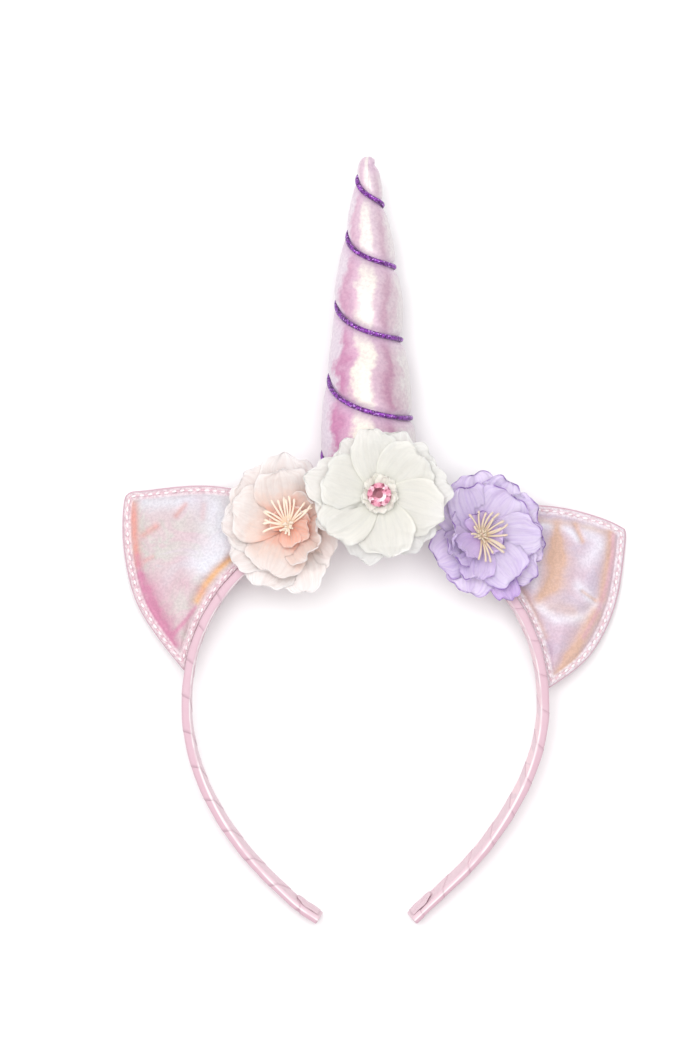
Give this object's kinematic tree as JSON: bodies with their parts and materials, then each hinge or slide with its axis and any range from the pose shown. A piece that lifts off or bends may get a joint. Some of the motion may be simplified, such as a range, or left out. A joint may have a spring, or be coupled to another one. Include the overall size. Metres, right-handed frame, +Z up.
{
  "type": "unicorn horn headband",
  "caption": "Ribbon-wrapped springy headband carrying a stuffed spiral horn, padded ears and cloth flowers, lying flat on a surface.",
  "frame": {"origin": "middle of the base of the whole headband as it lies on a flat surface", "axes": "+X to the right as seen from above, +Y from the band's tips towards the horn's tip, +Z up from the surface, towards the front of the flowers"},
  "size_m": [0.1806, 0.273, 0.0447],
  "materials": {
    "band": "satin",
    "ribbon": "satin",
    "horn_cloth": "satin",
    "cord": "gloss",
    "panel_cloth": "satin",
    "petal_white": "matte",
    "petal_peach": "matte",
    "petal_lavender": "matte",
    "gem": "gloss",
    "stamen_peach": "satin",
    "stamen_lavender": "satin"
  },
  "bodies": {
    "root": {"band_core": "band", "ribbon_end_left": "ribbon", "ribbon_end_right": "ribbon", "horn": "horn_cloth", "horn_cord": "cord", "ear_backing_left": "ribbon", "ear_backing_right": "ribbon", "ear_panel_left": "panel_cloth", "ear_panel_right": "panel_cloth", "white_petals_outer": "petal_white", "white_petals_middle": "petal_white", "white_petals_inner": "petal_white", "white_flower_gem": "gem", "peach_petals_outer": "petal_peach", "peach_petals_middle": "petal_peach", "peach_petals_inner": "petal_peach", "peach_stamens": "stamen_peach", "lavender_petals_outer": "petal_lavender", "lavender_petals_middle": "petal_lavender", "lavender_petals_inner": "petal_lavender", "lavender_stamens": "stamen_lavender"}
  },
  "joints": []
}
